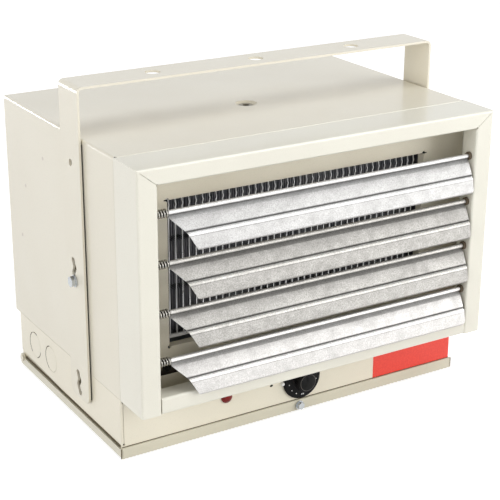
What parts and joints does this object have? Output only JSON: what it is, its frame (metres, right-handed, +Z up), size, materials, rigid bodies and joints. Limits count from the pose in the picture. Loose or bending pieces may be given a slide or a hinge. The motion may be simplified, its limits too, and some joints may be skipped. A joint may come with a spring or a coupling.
{
  "type": "ceiling mounted fan heater",
  "caption": "Sheet-metal electric unit heater with sprung tilting louvres, finned elements, a fan, a wiring base with a hinged access door, and a U-shaped ceiling yoke.",
  "frame": {"origin": "on the underside of the access door, straight below the yoke's pivot axis, half way across the width", "axes": "+Z up, towards the ceiling band of the yoke; +X across the width, to the right as seen from the front; the louvres face -Y"},
  "size_m": [0.3858, 0.2851, 0.324],
  "materials": {
    "cabinet_paint": "semi-gloss baked enamel",
    "frame_paint": "semi-gloss baked enamel",
    "louvre_aluminium": "mill finish",
    "fan_aluminium": "stamped",
    "spring_steel": "plain wire",
    "sheet_steel": "galvanised",
    "element_steel": "dark oxidised",
    "motor_paint": "black",
    "zinc": "zinc plated",
    "brass": "plain",
    "knob_plastic": "moulded black",
    "black_plastic": "moulded black",
    "beige_plastic": "moulded",
    "red_lens": "translucent dark red"
  },
  "bodies": {
    "cabinet": {"cabinet_shell": "cabinet_paint", "top_insert": "zinc", "outlet_panel": "cabinet_paint", "front_frame": "frame_paint", "frame_bottom_rail": "frame_paint", "outlet_guard": "sheet_steel", "louvre_spring_1": "spring_steel", "louvre_spring_2": "spring_steel", "louvre_spring_3": "spring_steel", "louvre_spring_4": "spring_steel", "heating_element_1": "element_steel", "heating_element_2": "element_steel", "heating_element_3": "element_steel", "element_bracket_left": "sheet_steel", "element_bracket_right": "sheet_steel", "thermal_limit": "black_plastic", "fan_shroud": "sheet_steel", "fan_motor": "motor_paint", "motor_bracket": "sheet_steel", "rear_panel": "cabinet_paint", "inlet_guard": "cabinet_paint", "base_box": "cabinet_paint", "base_deck": "sheet_steel", "knockout_1": "cabinet_paint", "knockout_2": "cabinet_paint", "door_hinge_pin_left": "cabinet_paint", "door_hinge_pin_right": "cabinet_paint", "thermostat_body": "beige_plastic", "pilot_lens": "red_lens", "pilot_housing": "black_plastic", "contactor": "black_plastic", "terminal_block": "black_plastic", "ground_screw": "brass", "pivot_bolt_left": "zinc", "pivot_bolt_right": "zinc", "pivot_washer_left": "zinc", "pivot_washer_right": "zinc", "pivot_nut_left": "zinc", "pivot_nut_right": "zinc"},
    "louvre_a": {"louvre_1": "louvre_aluminium"},
    "louvre_b": {"louvre_2": "louvre_aluminium"},
    "louvre_c": {"louvre_3": "louvre_aluminium"},
    "louvre_d": {"louvre_4": "louvre_aluminium"},
    "knob": {"thermostat_knob": "knob_plastic"},
    "fan": {"fan_rotor": "fan_aluminium"},
    "yoke": {"yoke": "cabinet_paint"},
    "door": {"access_door": "cabinet_paint", "door_screw": "zinc"}
  },
  "joints": [
    {"name": "yoke_tilt", "type": "hinge", "parent": "cabinet", "child": "yoke", "pos_m": [0, 0, 0.1435], "axis": [1, 0, 0], "range_deg": [-30, 30]},
    {"name": "louvre_1_tilt", "type": "hinge", "parent": "cabinet", "child": "louvre_a", "pos_m": [0, -0.112, 0.2354], "axis": [-1, 0, 0], "range_deg": [-5, 60]},
    {"name": "louvre_2_tilt", "type": "hinge", "parent": "cabinet", "child": "louvre_b", "pos_m": [0, -0.112, 0.191], "axis": [-1, 0, 0], "range_deg": [-5, 60]},
    {"name": "louvre_3_tilt", "type": "hinge", "parent": "cabinet", "child": "louvre_c", "pos_m": [0, -0.112, 0.1466], "axis": [-1, 0, 0], "range_deg": [-5, 60]},
    {"name": "louvre_4_tilt", "type": "hinge", "parent": "cabinet", "child": "louvre_d", "pos_m": [0, -0.112, 0.1022], "axis": [-1, 0, 0], "range_deg": [-5, 60]},
    {"name": "knob_turn", "type": "hinge", "parent": "cabinet", "child": "knob", "pos_m": [0.0045, -0.0776, 0.0323], "axis": [0, 1, 0], "range_deg": [0, 270]},
    {"name": "fan_spin", "type": "hinge", "parent": "cabinet", "child": "fan", "pos_m": [0, 0.045, 0.16765], "axis": [0, 1, 0], "continuous": true},
    {"name": "door_swing", "type": "hinge", "parent": "cabinet", "child": "door", "pos_m": [0, 0.145, 0.0085], "axis": [1, 0, 0], "range_deg": [0, 90]}
  ]
}
